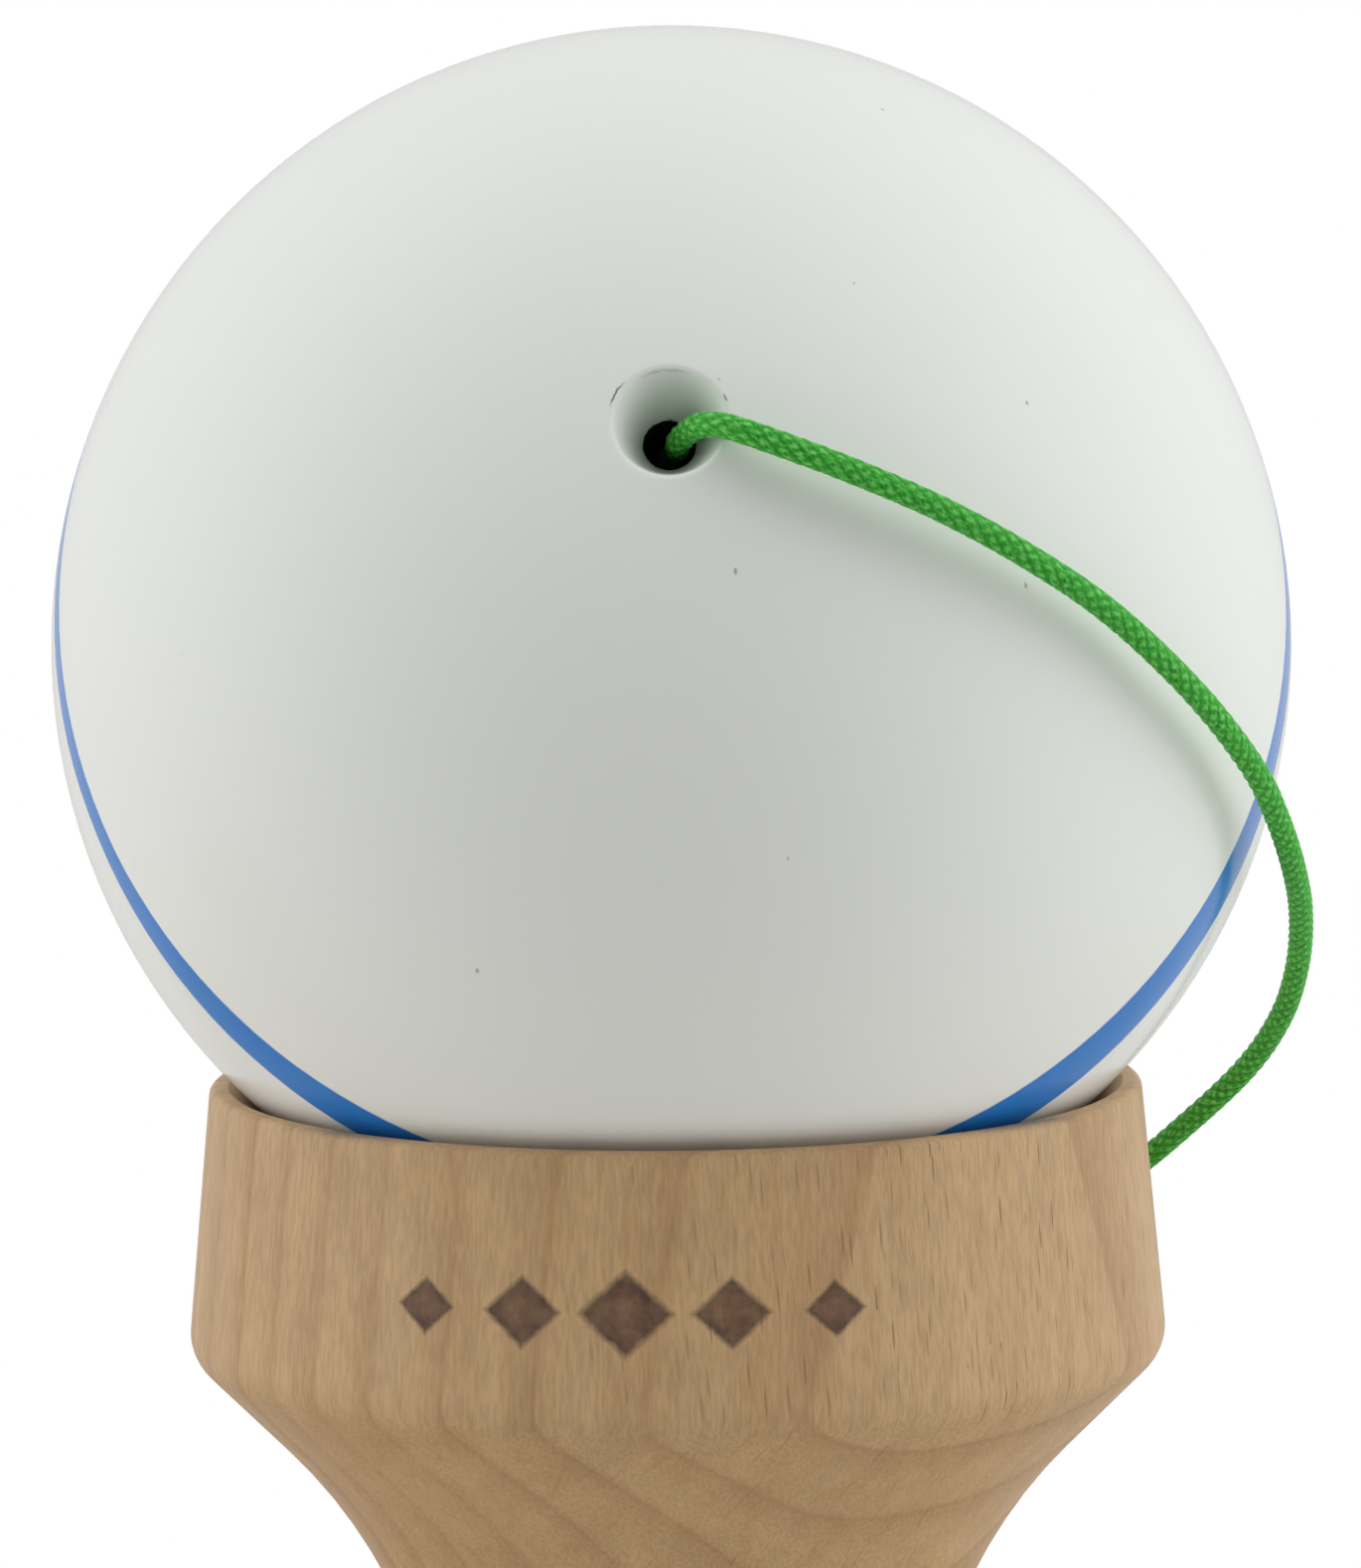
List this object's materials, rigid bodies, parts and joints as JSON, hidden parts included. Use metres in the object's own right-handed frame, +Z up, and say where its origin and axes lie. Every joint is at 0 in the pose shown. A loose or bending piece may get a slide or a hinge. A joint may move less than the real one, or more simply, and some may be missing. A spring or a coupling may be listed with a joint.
{
  "type": "cup and ball toy",
  "caption": "Turned beech cup-and-ball toy: cross-piece with a cup at each end, handle with base cup and spike, and a painted bored ball tied on by a braided string.",
  "frame": {"origin": "middle of the small cup's rim, which the toy stands on", "axes": "+Z up along the cross-piece through the big cup and the ball, +X along the handle towards the spike, -Y towards the picture's camera and the ball's string hole"},
  "size_m": [0.156, 0.06, 0.1212],
  "materials": {
    "beech": "turned and sanded European beech with a thin clear oil",
    "ball_paint": "beech ball under satin off-white paint, with one blue painted ring",
    "bead_wood": "plain sanded wooden bead",
    "string": "braided green polyester string",
    "tie_rubber": "thin natural rubber band"
  },
  "bodies": {
    "root": {"handle": "beech", "cross_cups": "beech", "handle_knot": "string", "string_in_handle": "string", "string_to_handle": "string", "string_coil": "string", "coil_tie": "tie_rubber", "string_from_ball": "string"},
    "ball": {"ball": "ball_paint"},
    "bead": {"bead": "bead_wood", "ball_knot": "string", "string_in_ball": "string"}
  },
  "joints": [
    {"name": "ball_lift", "type": "slide", "parent": "root", "child": "ball", "axis": [0, 0, 1], "range_m": [0, 0.05], "deforming": ["string_from_ball"]},
    {"name": "bead_swivel", "type": "hinge", "parent": "ball", "child": "bead", "pos_m": [0, 0, 0.09123], "axis": [0, -0.9026, 0.4305], "continuous": true}
  ]
}
